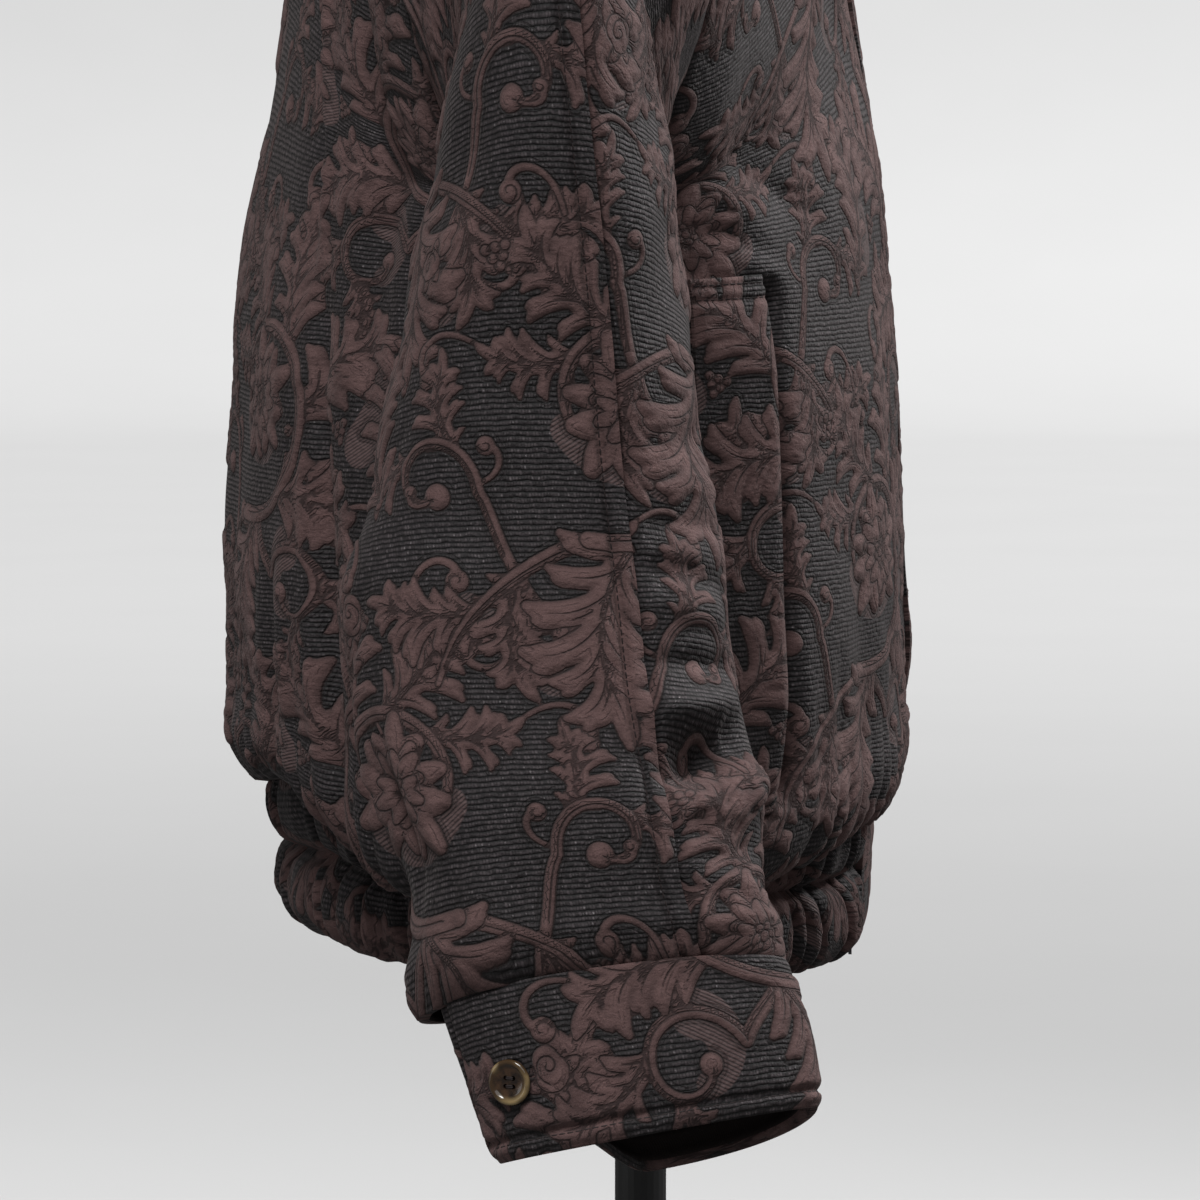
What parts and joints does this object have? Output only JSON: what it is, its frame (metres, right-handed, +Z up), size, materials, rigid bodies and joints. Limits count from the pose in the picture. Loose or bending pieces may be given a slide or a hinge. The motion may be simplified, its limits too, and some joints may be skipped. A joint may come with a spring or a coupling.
{
  "type": "blouson jacket on dress form",
  "caption": "Dark blouson jacket in raised leaf-scroll jacquard with gathered elastic hem, buttoned cuffs and upright welt pockets, resting on a limbless dress form with pole and base.",
  "frame": {"origin": "middle of the underside of the stand's round base", "axes": "+Z up, the jacket's front faces -Y, the wearer's right side is -X"},
  "size_m": [0.8302, 0.38, 1],
  "materials": {
    "jacquard": "raised matelasse jacquard, brown motifs on charcoal rib",
    "horn": "polished dark horn look",
    "zip_metal": "dark satin",
    "form_cover": "matte black jersey cover",
    "black_satin": "satin black"
  },
  "bodies": {
    "root": {"back": "jacquard", "front_right": "jacquard", "front_left": "jacquard", "sleeve_right_front": "jacquard", "sleeve_right_back": "jacquard", "sleeve_left_front": "jacquard", "sleeve_left_back": "jacquard", "cuff_right": "jacquard", "cuff_left": "jacquard", "cuff_button_right": "horn", "cuff_button_left": "horn", "hem_band": "jacquard", "hem_tab_right": "jacquard", "hem_tab_left": "jacquard", "front_placket": "jacquard", "pocket_welt_right": "jacquard", "pocket_welt_left": "jacquard", "collar": "jacquard", "zip_end": "zip_metal", "form_torso": "form_cover", "form_cap": "black_satin", "form_pole": "black_satin", "form_base": "black_satin"}
  },
  "joints": []
}
